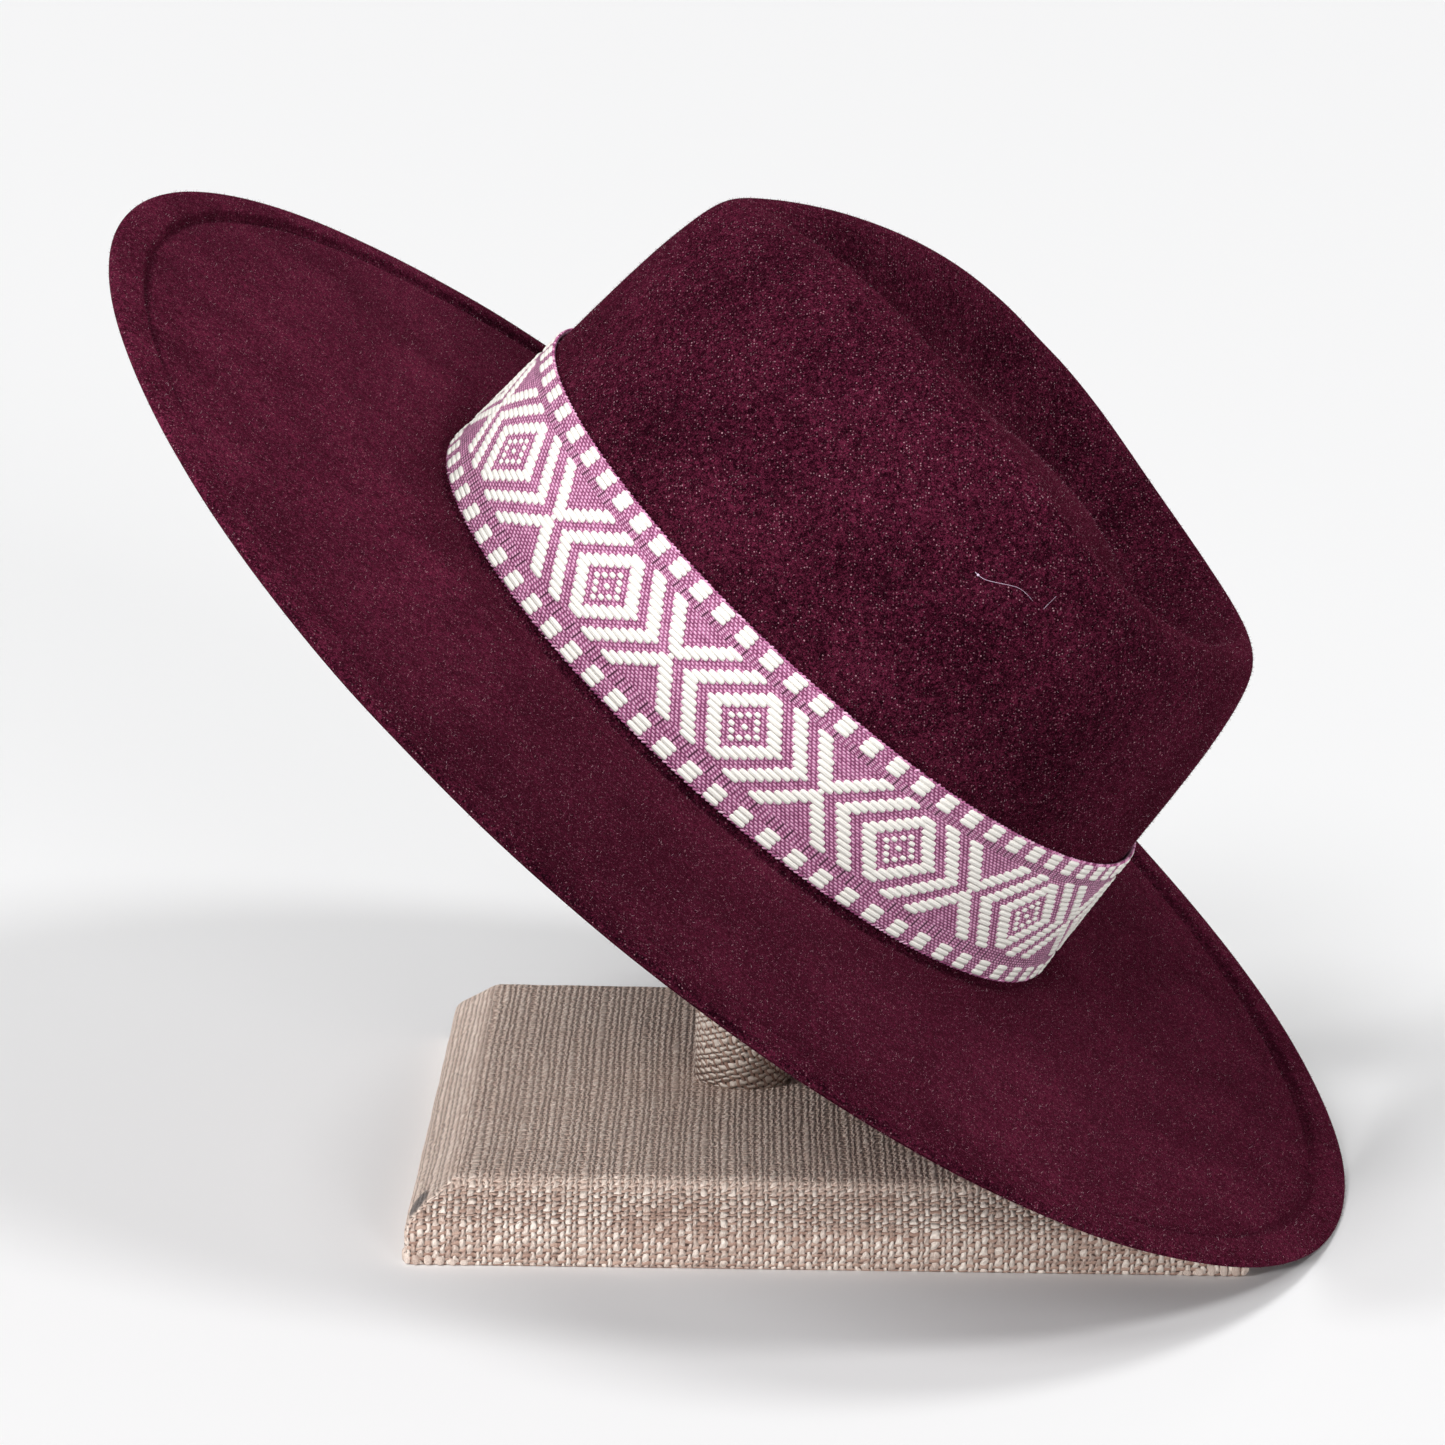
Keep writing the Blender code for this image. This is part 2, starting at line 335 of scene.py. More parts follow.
def pointOn(surface, pixel, lift=0.0):  # where a pixel of the photograph's frame meets a surface
    place, normal = surface.ray_cast(*rayThrough(pixel))[:2]
    return place + normal * lift


# Geometry Nodes, carried out at once

def grown(thing, name, build):  # what a small node tree makes out of a thing
    tree = bpy.data.node_groups.new(name, "GeometryNodeTree")
    tree.interface.new_socket("Geometry", in_out="INPUT", socket_type="NodeSocketGeometry")
    tree.interface.new_socket("Geometry", in_out="OUTPUT", socket_type="NodeSocketGeometry")
    start = Wire(tree)
    placed = build(start, start.add("NodeGroupInput"))
    real = start.add("GeometryNodeRealizeInstances", None, {0: placed})
    start.add("NodeGroupOutput", None, {0: real})
    step = thing.modifiers.new(name, "NODES")
    step.node_group = tree
    mesh = finished(thing)
    thing.modifiers.remove(step)
    mesh.name = name
    mesh.shade_smooth()
    return mesh


def named(start, name, kind="FLOAT"):  # the numbers that a mesh keeps under a name
    return start.add("GeometryNodeInputNamedAttribute", {"data_type": kind}, {"Name": name})


def instanced(start, points, pattern, turns, sizes):  # a small shape at each point
    solid = start.add("GeometryNodeObjectInfo", None, {"Object": pattern}, output="Geometry")
    inputs = {"Points": points, "Instance": solid, "Rotation": turns, "Scale": sizes}
    return start.add("GeometryNodeInstanceOnPoints", None, inputs)


def copiesOf(shape, matrices, chance, name, material):  # a small shape at each place, as one piece
    points = bpy.data.meshes.new(name + "Points")
    points.from_pydata([m.to_translation() for m in matrices], [], [])
    keep(points, "turn", [m.to_quaternion() for m in matrices], "QUATERNION")
    keep(points, "size", [m.to_scale() for m in matrices], "FLOAT_VECTOR")
    keep(points, "tone", chance.random(len(matrices)))
    holder = linked(name + "Points", points)
    pattern = linked(name + "Shape", shape)

    def build(start, given):
        cloud = start.add("GeometryNodeMeshToPoints", None, {0: given})
        turns = named(start, "turn", "QUATERNION")
        return instanced(start, cloud, pattern, turns, named(start, "size", "FLOAT_VECTOR"))

    mesh = grown(holder, name, build)
    bpy.data.objects.remove(holder)
    bpy.data.objects.remove(pattern)
    return newPiece(name, mesh, material)


# Felt body

felt = {
    "smoothing": 2,
    "fittings": 3,
    "unevenness": 0.35 * mm,
    "unevenSize": 38 * mm,
    "weltWidth": 10.8 * mm,
    "grooveWidth": 4.4 * mm,
    "grooveDepth": 0.55 * mm,
    "edgeSteps": 240,  # directions in which the brim's edge is looked for
    "shade": (0.008, 0.001, 0.003),
    "body": (0.032, 0.0039, 0.0108),
    "fuzz": (0.116, 0.0145, 0.038),
    # light fibres, and painted glints
    "speck": (0.62, 0.34, 0.40),
    "perMetre": {"patches": 34, "clumps": 560, "fibres": 1950, "bright": 640, "faint": 1500},
    "stitchPixels": [(1307, 1122), (1308, 1131), (1305, 1168)],  # where stitches of the welt sink in
    "stitchRadius": 0.95 * mm,
    "dentFrom": 60 * mm,  # the height over the brim where the dent is looked for
    "dentRays": 9,
    "dentRise": 0.45,  # how much a ray rises over its run
    "dentReach": 75 * mm,
    # how dark the painted shade in the dent gets at most
    "dentPaintedShade": 0.75,
    "grazing": 0.1,  # rays flatter to the felt than this aren't counted
    # where the felt's painted light and shade change
    "crownReach": 106 * mm,  # how far out the brim begins
    "brimFade": 12 * mm,
    "frontFrom": 0.40,
    "frontFade": 0.30,
    "brimPaintedLight": (0.76, 0.80, 0.42),  # painted light: the tone's share at the sides, and what front and back add
    "crownPaintedLight": (0.95, 0.0, -0.22),
}


def feltFinish(stitches):
    finish = Finish("wineFelt", {
        "Specular IOR Level": 0.0,
        "Sheen Weight": 0.10,
        "Sheen Roughness": 0.36,
        "Sheen Tint": (1.0, 0.13, 0.30, 1.0),
    })
    place = finish.place()
    scale = felt["perMetre"]
    patches = finish.speckle(place, scale["patches"], 3.0, 0.55)
    clumps = finish.speckle(place, scale["clumps"], 2.0, 0.6, 0.5)
    fibres = finish.speckle(place, scale["fibres"], 2.0, 0.65, 1.2)
    tone = patches * 0.16 + clumps * 0.22 + fibres * 0.62
    colour = finish.ramp(tone, [(0.41, felt["shade"]), (0.50, felt["body"]), (0.60, felt["fuzz"])])
    # light fibres and painted glints, the faint ones thicker in the patches
    bright = finish.dots(place, scale["bright"], 0.06, 0.17, 14)
    faint = finish.dots(place, scale["faint"], 0.10, 0.36, 4)
    fibresAndGlints = bright + faint * (patches + 0.25)
    sunk = 0.0
    for stitch in stitches:
        sunk = 1 - finish.away(place, stitch).step(felt["stitchRadius"] * 0.3, felt["stitchRadius"]) + sunk
    # painted shade in the welt's groove and in the stitch pits
    paintedShade = (finish.value("groove") * 0.42).maths("MAXIMUM", sunk * 0.85)
    # the painted light and shade over the whole felt scale its colour
    colour = paintedShade.mix(colour, felt["shade"]).times(finish.value("lay"))
    finish.feed("Base Color", (fibresAndGlints * 0.85 * (1 - paintedShade)).mix(colour, felt["speck"]))
    finish.feed("Roughness", 0.72 - fibres * 0.5)
    finish.feed("Normal", finish.bump(fibres * 0.8 + clumps * 0.5 - sunk * 1.2, 0.65 * mm, 0.9))
    return finish.material


def fitCage(thing, rounds):  # shifts a cage until its smooth surface meets its old corners
    wanted = cornersOf(thing.data)
    cage = wanted.copy()
    for _ in range(rounds):
        shape = finished(thing)
        cage += wanted - cornersOf(shape)[:len(wanted)]
        bpy.data.meshes.remove(shape)
        thing.data.vertices.foreach_set("co", cage.ravel())
        thing.data.update()


def brimEdge(places):  # corners on the brim's outermost line, in their order round the hat
    local = inHat(places)
    turn = np.arctan2(local[:, 1], local[:, 0])
    reach = np.hypot(local[:, 0], local[:, 1])
    share = turn / (2 * math.pi) + 0.5
    steps = np.floor(share * felt["edgeSteps"]).astype(int) % felt["edgeSteps"]
    edge = {}
    for i, step in enumerate(steps):
        if step not in edge or reach[i] > reach[edge[step]]:
            edge[step] = i
    return places[[edge[step] for step in sorted(edge)]]


def edgeDistance(places):  # how far each corner is from the brim's edge
    edge = brimEdge(places)
    best = np.full(len(places), 1.0)
    for first, second in zip(edge, np.roll(edge, -1, axis=0)):
        along = second - first
        share = np.clip((places - first) @ along / (along @ along), 0.0, 1.0)
        gap = np.linalg.norm(places - first - share[:, None] * along, axis=1)
        best = np.minimum(best, gap)
    return best


def hollowness(surface, places, normals):  # how much of the way out of the dent its own walls close, which sets the painted shade in the dent
    inside = (inHat(places)[:, 2] > felt["dentFrom"]) & (normals @ hatUp > felt["grazing"])
    closed = np.zeros(len(places))
    turns = [math.radians(360 / felt["dentRays"]) * i for i in range(felt["dentRays"])]
    aims = [Vector((math.cos(turn), math.sin(turn), felt["dentRise"])) for turn in turns]
    aims = [hatTurn @ aim.normalized() for aim in aims]
    for i in np.flatnonzero(inside):
        normal = Vector(normals[i])
        start = Vector(places[i]) + normal * mm
        for aim in aims:
            if aim.dot(normal) > felt["grazing"]:
                away = surface.ray_cast(start, aim, felt["dentReach"])[3]
                if away is not None:
                    closed[i] += (1.0 - away / felt["dentReach"]) / len(aims)
    return closed


def paintedLightOf(places):  # painted light and sheen: the brim lighter towards the front and the crown darker towards the back, as a share of the tone
    local = inHat(places)
    reach = np.hypot(local[:, 0], local[:, 1])
    ahead = local[:, 0] / reach
    front = np.clip((ahead - felt["frontFrom"]) / felt["frontFade"], 0.0, 1.0)
    back = np.clip(-ahead, 0.0, 1.0)
    onBrim = np.clip((reach - felt["crownReach"]) / felt["brimFade"], 0.0, 1.0)
    brim, crown = [a + b * front + c * back for a, b, c in (felt["brimPaintedLight"], felt["crownPaintedLight"])]
    return onBrim * brim + (1 - onBrim) * crown


def makeFelt():
    thing = newPiece("felt", meshFrom(mergedCopy("felt_body"), "felt"), None, ["felt_body"])
    smooth = thing.modifiers.new("smooth", "SUBSURF")
    smooth.levels = felt["smoothing"]
    smooth.render_levels = felt["smoothing"]
    fitCage(thing, felt["fittings"])
    mesh = settle(thing).data
    places = cornersOf(mesh)
    normals = numbersOf(mesh.vertex_normals, "vector")
    upper = np.clip(normals @ hatUp * 2.5, 0.0, 1.0)
    fromGroove = np.abs(edgeDistance(places) - felt["weltWidth"]) / (felt["grooveWidth"] / 2)
    groove = upper * np.clip(1.0 - fromGroove ** 2, 0.0, 1.0) ** 2
    places -= normals * (groove * felt["grooveDepth"])[:, None]
    for i, place in enumerate(places):
        places[i] += hatUp * noise.noise(Vector(place) / felt["unevenSize"]) * felt["unevenness"]
    mesh.vertices.foreach_set("co", places.ravel())
    keep(mesh, "groove", groove)
    closed = hollowness(surfaceOf(thing), places, normals)
    # painted shade in the dent, where its walls close round
    keep(mesh, "lay", paintedLightOf(places) * (1 - closed * felt["dentPaintedShade"]))
    mesh.update()
    return thing


feltPiece = makeFelt()
feltSurface = surfaceOf(feltPiece)
feltPiece.data.materials.append(feltFinish([pointOn(feltSurface, pixel) for pixel in felt["stitchPixels"]]))
print("felt body made:", len(feltPiece.data.polygons), "faces")


# Nap, loose fibres that stand on the felt

nap = {
    "fibres": 46000,  # in each of the two layers
    "length": 0.95 * mm,
    "shortest": 0.4,  # as a share of the longest
    "radius": 0.042 * mm,
    "tilt": 68,  # degrees, at most
    "inside": 0.22,  # how thick it grows inside the crown and under the brim
    "under": (0.0, 0.0, 0.12),  # a place under the hat, from which the outside faces away
    "flatten": (0.6, 0.6, 1.0),
    "bandBottom": 3 * mm,  # the stretch of crown that the band covers, which stays bare
    "bandTop": 38 * mm,
    "bandReach": 108 * mm,
    # tones lighter than the felt's, as painted sheen, with painted glints in the lightest
    "shade": (0.09, 0.012, 0.032),
    "body": (0.26, 0.06, 0.115),
    "tip": (0.80, 0.56, 0.64),
}


def napFinish():
    finish = Finish("wineNap", {"Roughness": 0.5, "Specular IOR Level": 0.15})
    tone = finish.value("tone")
    stops = [(0.0, nap["shade"]), (0.6, nap["body"]), (0.90, nap["body"]), (0.98, nap["tip"])]
    fine = finish.speckle(finish.place(), 900, 1.0)
    finish.feed("Base Color", finish.ramp(tone * 0.96 + fine * 0.08, stops))
    return finish.material


def napShape():  # a three-sided hair, 1 long, rooted a little under the surface
    bm = bmesh.new()
    lift = Matrix.Translation((0.0, 0.0, 0.45))
    bmesh.ops.create_cone(bm, cap_ends=True, cap_tris=False, segments=3, radius1=1.0, radius2=0.0,
                          depth=1.0, matrix=lift)
    merge(bm, 0.01)
    return meshFrom(bm, "hair")


def markNap():  # how thick the nap grows on each face of the felt
    faces = feltPiece.data.polygons
    local = inHat(numbersOf(faces, "center"))
    facing = numbersOf(faces, "normal") @ np.array(hatTurn)
    outside = (facing * (local * nap["flatten"] + nap["under"])).sum(axis=1) > 0
    reach = np.hypot(local[:, 0], local[:, 1])
    height = local[:, 2]
    banded = (height > nap["bandBottom"]) & (height < nap["bandTop"]) & (reach < nap["bandReach"])
    thickness = np.where(outside, np.where(banded, 0.0, 1.0), nap["inside"])
    thickness *= nap["fibres"] / (numbersOf(faces, "area", 1) * thickness).sum()
    keep(feltPiece.data, "nap", thickness, domain="FACE")


def makeNap(name, seed, material):
    pattern = linked("hair", napShape())

    def build(start, given):
        def between(low, high, seed):  # a random vector for each point
            inputs = {0: low, 1: high, "Seed": seed}
            return start.add("FunctionNodeRandomValue", {"data_type": "FLOAT_VECTOR"}, inputs)

        spread = {"Mesh": given, "Density": named(start, "nap"), "Seed": seed}
        points = start.add("GeometryNodeDistributePointsOnFaces", {"distribute_method": "RANDOM"}, spread)
        upright = points.other("Rotation")
        inputs = {2: 0.0, 3: 1.0, "Seed": seed}
        tones = start.add("FunctionNodeRandomValue", {"data_type": "FLOAT"}, inputs, output=1)
        inputs = {"Geometry": points, "Name": "tone", "Value": tones}
        settings = {"data_type": "FLOAT", "domain": "POINT"}
        points = start.add("GeometryNodeStoreNamedAttribute", settings, inputs)
        lean = between((0.0, 0.0, 0.0), (math.radians(nap["tilt"]), 0.0, 2 * math.pi), seed + 1)
        lean = start.add("FunctionNodeEulerToRotation", None, {0: lean})
        turned = start.add("FunctionNodeRotateRotation", {"rotation_space": "LOCAL"}, {0: upright, 1: lean})
        wide = (nap["radius"], nap["radius"])
        sizes = between((*wide, nap["length"] * nap["shortest"]), (*wide, nap["length"]), seed + 2)
        return instanced(start, points, pattern, turned, sizes)

    mesh = grown(feltPiece, name, build)
    bpy.data.objects.remove(pattern)
    return newPiece(name, mesh, material)


markNap()
napMaterial = napFinish()
napPieces = [makeNap(name, seed, napMaterial) for name, seed in (("nap_a", 3), ("nap_b", 40))]
print("nap grown:", [len(piece.data.polygons) for piece in napPieces], "faces")


# Woven band

ribbon = {
    "repeats": 12,
    "columns": 36,  # picks in one repeat
    "rows": 27,  # pattern threads across the band
    "selvedge": 0.2,  # rows of plain edge outside them
    "plainRows": ((3, 5), (22, 24)),  # stretches of bare ground inside the borders
    "firstDiamond": 38.7 * mm,  # round the band from the hat's front
    "chartRows": (-0.2, 0, 3, 5, 22, 24, 27, 27.2),
    "chartHeights": (0.95, 1.17, 5.67, 8.75, 33.05, 35.03, 39.53, 39.75),  # mm over the band's edge
    "driftAt": (0, 35, 60, 85, 110, 160, 205, 235, 265, 330, 560),  # mm round the band
    "ahead": (-2.5, -0.8, 2.2, 2.0, 0.8, 0.0, 0.9, 0.6, 0.5, 0.0, 0.0),  # how far the weave runs on
    "lean": (0.18, 0.20, 0.23, 0.17, 0.14, 0.11, 0.12, 0.09, 0.04, 0.0, 0.0),  # how far its columns lean
    "crownHalf": (100.9 * mm, 88.6 * mm),  # half its length and width at the band
    "rings": 60,  # of corners on the CAD band
    "samples": 1441,  # places where its length is measured
    "ground": 0.35 * mm,  # how far the ground lies under the CAD band's face
    "thickness": 0.7 * mm,
    "floatLength": 3.38,  # in picks
    "dotLength": 1.15,
    "floatWidth": 1.17,  # in rows
    "dotWidth": 0.92,
    "floatHeight": 0.44 * mm,
    "floatLift": 0.06 * mm,
    # painted shade in the slits between picks
    "slitShade": (0.085, 0.012, 0.045),
    # gap is painted shade between the beads, crest a painted highlight on their tops
    "gap": (0.225, 0.040, 0.125),
    "mauve": (0.455, 0.13, 0.29),
    "crest": (0.84, 0.42, 0.64),
    "white": (0.93, 0.91, 0.85),
    # painted shade in the valleys along and between the threads
    "valleyShade": (0.56, 0.50, 0.45),
}


def ribbonRings():  # the CAD band's outer face as rings of corners
    bm = mergedCopy("hat_band")
    bm.normal_update()
    places = inHat(np.array([v.co for v in bm.verts]))
    normals = np.array([hatTurn.transposed() @ v.normal for v in bm.verts])
    bm.free()
    outer = places[(normals * places * (1.0, 1.0, 0.0)).sum(axis=1) > 0]
    long, wide = ribbon["crownHalf"]
    turn = np.arctan2(outer[:, 1] / wide, outer[:, 0] / long) % (2 * math.pi)
    count = ribbon["rings"]
    column = np.round(turn / (2 * math.pi) * count).astype(int) % count
    rings = [outer[column == i] for i in range(count)]
    return np.array([ring[np.argsort(ring[:, 2])] for ring in rings])


def throughFour(a, b, c, d, t):  # Catmull-Rom between b and c
    curve = 2 * b + (c - a) * t + (2 * a - 5 * b + 4 * c - d) * t ** 2
    return 0.5 * (curve + (3 * b - a - 3 * c + d) * t ** 3)


class RibbonFace:  # the band's outer face, by picks round it and rows across it
    def __init__(self):
        self.rings = ribbonRings()
        self.width = np.linalg.norm(self.rings[0, -1] - self.rings[0, 0])
        self.steps = np.linspace(0.0, 1.0, ribbon["samples"])
        middles = np.array([self.raw(s, 0.5) for s in self.steps])
        run = np.linalg.norm(np.diff(middles, axis=0), axis=1)
        self.run = np.concatenate([[0.0], np.cumsum(run)])
        self.length = self.run[-1]

    def raw(self, around, across):
        count, rows = self.rings.shape[:2]
        i = around * count
        base = int(math.floor(i))
        near = [self.rings[(base + k) % count] for k in (-1, 0, 1, 2)]
        ring = throughFour(*near, i - base)
        j = across * (rows - 1)
        low = min(max(int(j), 0), rows - 2)
        return ring[low] + (ring[low + 1] - ring[low]) * (j - low)

    def at(self, pick, row):
        height = np.interp(row, ribbon["chartRows"], ribbon["chartHeights"]) * mm
        around = ribbon["firstDiamond"] + pick * self.length / ribbonPicks
        drift = [np.interp(around / mm, ribbon["driftAt"], ribbon[name], period=self.length / mm)
                 for name in ("ahead", "lean")]
        around += drift[0] * mm + drift[1] * (height - self.width / 2)
        return self.raw(np.interp(around % self.length, self.run, self.steps), height / self.width)

    def frameAt(self, pick, row, lift=0.0):  # axes along, across and out, and the place
        here = self.at(pick, row)
        along = self.at(pick + 0.5, row) - self.at(pick - 0.5, row)
        up = self.at(pick, row + 0.5) - self.at(pick, row - 0.5)
        along /= np.linalg.norm(along)
        up -= along * (up @ along)
        up /= np.linalg.norm(up)
        out = np.cross(along, up)
        matrix = np.eye(4)
        matrix[:3] = np.column_stack([along, up, out, here + out * lift])
        return hatMatrix @ Matrix(matrix)


ribbonPicks = ribbon["repeats"] * ribbon["columns"]
ribbonRows = ribbon["rows"] + 2 * ribbon["selvedge"]
ribbonFace = RibbonFace()
pickLength = ribbonFace.length / ribbonPicks
rowWidth = ribbonFace.width / ribbonRows


def patternAt(pick, row):  # charted repeat: length of the thread that floats here, or 0
    middle = (ribbon["rows"] - 1) // 2
    away = abs(row - middle)  # rows from the band's middle line
    column = pick % ribbon["columns"]
    column = min(column, ribbon["columns"] - column)  # picks from the nearest diamond's middle
    if away > 10:  # both borders: blocks of three picks, then three bare
        return 3 if column % 6 == 0 else 0
    if away > 8:
        return 0
    if column == 7 - away or column == 13 - away:  # diamond ring, and the chevron round it
        return 3
    if column == 19 - away and away > 0:  # arms that cross between the diamonds
        return 3
    if column + away == 3 or column + away == 0:  # dotted ring in the diamond's heart
        return 1 if away <= 3 else 0
    if away == 0 and column == 18:
        return 1
    return 0


def floatPlaces():
    for pick in range(ribbonPicks):
        for row in range(ribbon["rows"]):
            length = patternAt(pick, row)
            if length:
                yield pick, row, length


print("charted threads:", sum(1 for each in floatPlaces()))


def groundFinish():
    finish = Finish("mauveGround", {"Roughness": 0.6, "Specular IOR Level": 0.4, "Sheen Weight": 0.1})
    place = finish.sheetPlace("weave")
    picks = place.part("X")
    rows = place.part("Y")
    plain = 0.0
    for low, high in ribbon["plainRows"]:
        plain = rows.step(low - 0.02, low + 0.02) - rows.step(high - 0.02, high + 0.02) + plain
    beads = rows * 2
    bead = beads.floor()
    shift = (bead * 0.5).fract() * (1 - plain)
    across = beads.within()
    grain = picks + shift + across * 0.16
    dome = 1 - (grain.within().size() ** 2.0) * 1.15 - (across.size() ** 2.0) * 0.95
    height = dome.step(-0.10, 1.0)
    chance = finish.chance(grain.floor(), bead)
    strand = finish.speckle(finish.scaled(place, (1.0, 0.5, 1.0), 20), 9.0, 2.0)
    # painted shade in the gaps and painted highlight on the bead tops, by their height, with random tone
    tone = height * 0.78 + chance * 0.42 + strand * 0.2 - 0.20
    colour = finish.ramp(tone, [(0.04, ribbon["gap"]), (0.36, ribbon["mauve"]), (0.86, ribbon["crest"])])
    pair = (picks * 0.5 + 0.02).within().size()
    deep = finish.chance((picks * 0.5 + 0.52).floor(), 3.0).step(0.05, 0.45)
    # painted shade in the slits between picks in the plain stretches
    slitShade = pair.step(0.80, 0.92) * plain * deep
    finish.feed("Base Color", (slitShade * 0.92).mix(colour, ribbon["slitShade"]))
    finish.feed("Normal", finish.bump(height * 0.9 + strand * 0.25 - slitShade * 0.9, 0.38 * mm))
    return finish.material


def makeRibbon(material):
    bm = bmesh.new()
    bmesh.ops.create_grid(bm, x_segments=ribbonPicks, y_segments=ribbon["rows"], size=0.5)
    for v in bm.verts:
        v.co = ((v.co.x + 0.5) * ribbonPicks, (v.co.y + 0.5) * ribbonRows - ribbon["selvedge"], 0.0)
    chart(bm, "weave", lambda face, place: place.xy)
    for v in bm.verts:
        v.co = ribbonFace.frameAt(v.co.x, v.co.y, -ribbon["ground"]).to_translation()
    merge(bm)
    thing = newPiece("ribbon", meshFrom(bm, "ribbon"), material, ["hat_band"])
    wall = thing.modifiers.new("wall", "SOLIDIFY")
    wall.thickness = ribbon["thickness"]
    wall.offset = -1.0
    return settle(thing)


ribbonPiece = makeRibbon(groundFinish())
print("ribbon made:", round(ribbonFace.length / mm), "mm round")


def pillow(name, segments, rings, blunt):  # a fat little thread, 1 long, 1 wide and 1 high
    bm = bmesh.new()
    bmesh.ops.create_uvsphere(bm, u_segments=segments, v_segments=rings, radius=1.0,
                              matrix=rotation(90, "Y"))
    for v in bm.verts:
        v.co = [math.copysign(abs(part) ** power / 2, part) for part, power in zip(v.co, blunt)]
    chart(bm, "strand", lambda face, place: place.xy)
    return meshFrom(bm, name)


def threadFinish():
    finish = Finish("offWhiteThread", {"Roughness": 0.62, "Specular IOR Level": 0.35, "Sheen Weight": 0.12})
    place = finish.sheetPlace("strand")
    tone = finish.value("tone")
    side = place.part("Y").size() * 2
    strands = (place.part("Y") * 2.6 + tone).within().size()
    fuzz = finish.speckle(finish.place(), 2600, 2.0, 0.6)
    # painted shade along each thread's sides and between its strands, with random tone
    shade = side.step(0.74, 1.0) * 0.40 + strands.step(0.80, 1.0) * 0.20 + fuzz * 0.16 + tone * 0.10 - 0.05
    finish.feed("Base Color", shade.mix(ribbon["white"], ribbon["valleyShade"]))
    height = (1 - strands.step(0.55, 1.0)) + fuzz * 0.5
    finish.feed("Normal", finish.bump(height, 0.09 * mm, 0.7))
    return finish.material


def makeThreads(material):
    chance = np.random.default_rng(7)
    matrices = []
    for pick, row, length in floatPlaces():
        place = ribbonFace.frameAt(pick + chance.normal(0.0, 0.05), row + 0.5 + chance.normal(0.0, 0.02),
                                   ribbon["floatLift"] - ribbon["ground"])
        kind = "float" if length == 3 else "dot"
        size = (ribbon[kind + "Length"] * pickLength * chance.normal(1.0, 0.025),
                ribbon[kind + "Width"] * rowWidth,
                ribbon["floatHeight"] * 2 * chance.normal(1.0, 0.06))
        matrices.append(place @ Matrix.Diagonal((*size, 1.0)))
    thread = pillow("thread", 8, 6, (0.5, 0.62, 0.85))
    return copiesOf(thread, matrices, chance, "band_threads", material)


edging = {  # the small turns of thread along both edges of the band
    "outside": 0.12,  # rows past the pattern
    "depth": 0.15 * mm,  # under the ground's face
    "slant": 28,  # degrees
    "picks": 1.12,
    "width": 0.62 * mm,
    "height": 0.72 * mm,
    "worn": (0.70, 0.62, 0.62),
}


def edgeFinish():
    finish = Finish("mauveEdge", {"Roughness": 0.65, "Specular IOR Level": 0.35})
    tone = finish.value("tone")
    fine = finish.speckle(finish.place(), 2400, 2.0, 0.6)
    stops = [(0.10, ribbon["gap"]), (0.50, ribbon["mauve"]), (0.80, ribbon["crest"]), (1.0, edging["worn"])]
    finish.feed("Base Color", finish.ramp(tone * 0.8 + fine * 0.35 - 0.08, stops))
    finish.feed("Normal", finish.bump(fine, 0.10 * mm))
    return finish.material


def makeEdges(material):
    chance = np.random.default_rng(19)
    matrices = []
    for row in (-edging["outside"], ribbon["rows"] + edging["outside"]):
        for pick in range(ribbonPicks):
            lift = -ribbon["ground"] - edging["depth"]
            place = ribbonFace.frameAt(pick + chance.normal(0.0, 0.06), row, lift)
            slant = rotation(chance.normal(edging["slant"], 8), "Z")
            size = (pickLength * edging["picks"], edging["width"], edging["height"])
            matrices.append(place @ slant @ Matrix.Diagonal((*size, 1.0)))
    turn = pillow("turn", 7, 5, (0.8, 0.9, 0.9))
    return copiesOf(turn, matrices, chance, "band_edges", material)


threads = makeThreads(threadFinish())
edges = makeEdges(edgeFinish())
print("band threads made:", len(threads.data.polygons) + len(edges.data.polygons), "faces")


# A thread of lint on the crown

lint = {
    "radius": 0.065 * mm,
    "lift": 0.25 * mm,
    "runs": [  # how thick each is at its ends, and its line over the photo's frame
        (1.0, 0.45, [(975, 572), (981, 578), (989, 581), (1004, 584), (1018, 587), (1026, 593),
                     (1033, 601)]),
        (0.45, 0.35, [(1043, 609), (1049, 603), (1056, 596)]),
    ],
    "knot": (978, 575),
    "knotRadius": 0.34 * mm,
    "knotLift": 0.2 * mm,
    "colour": (0.78, 0.70, 0.86),
    "shade": (0.45, 0.25, 0.36),
}


def makeLint():
    finish = Finish("lintThread", {"Roughness": 0.8})
    fine = finish.speckle(finish.place(), 1500, 1.0)
    finish.feed("Base Color", fine.mix(lint["colour"], lint["shade"]))
    line = bpy.data.curves.new("lint", "CURVE")
    line.dimensions = "3D"
    line.bevel_depth = lint["radius"]
    line.bevel_resolution = 1
    line.use_fill_caps = True
    for first, last, pixels in lint["runs"]:
        run = line.splines.new("NURBS")
        run.points.add(len(pixels) - 1)
        run.order_u = 3
        run.use_endpoint_u = True
        run.resolution_u = 5
        for i, (point, pixel) in enumerate(zip(run.points, pixels)):
            point.co = (*pointOn(feltSurface, pixel, lint["lift"]), 1.0)
            point.radius = first + (last - first) * i / (len(pixels) - 1)
    drawn = linked("lintLine", line)
    bm = bmesh.new()
    bm.from_mesh(finished(drawn))
    bpy.data.objects.remove(drawn)
    middle = Matrix.Translation(pointOn(feltSurface, lint["knot"], lint["knotLift"]))
    bmesh.ops.create_icosphere(bm, subdivisions=2, radius=lint["knotRadius"], matrix=middle)
    merge(bm, 0.001 * mm)
    return newPiece("lint_thread", meshFrom(bm, "lint"), finish.material)


makeLint()
print("lint laid")


# Stand, a board and a post covered with linen

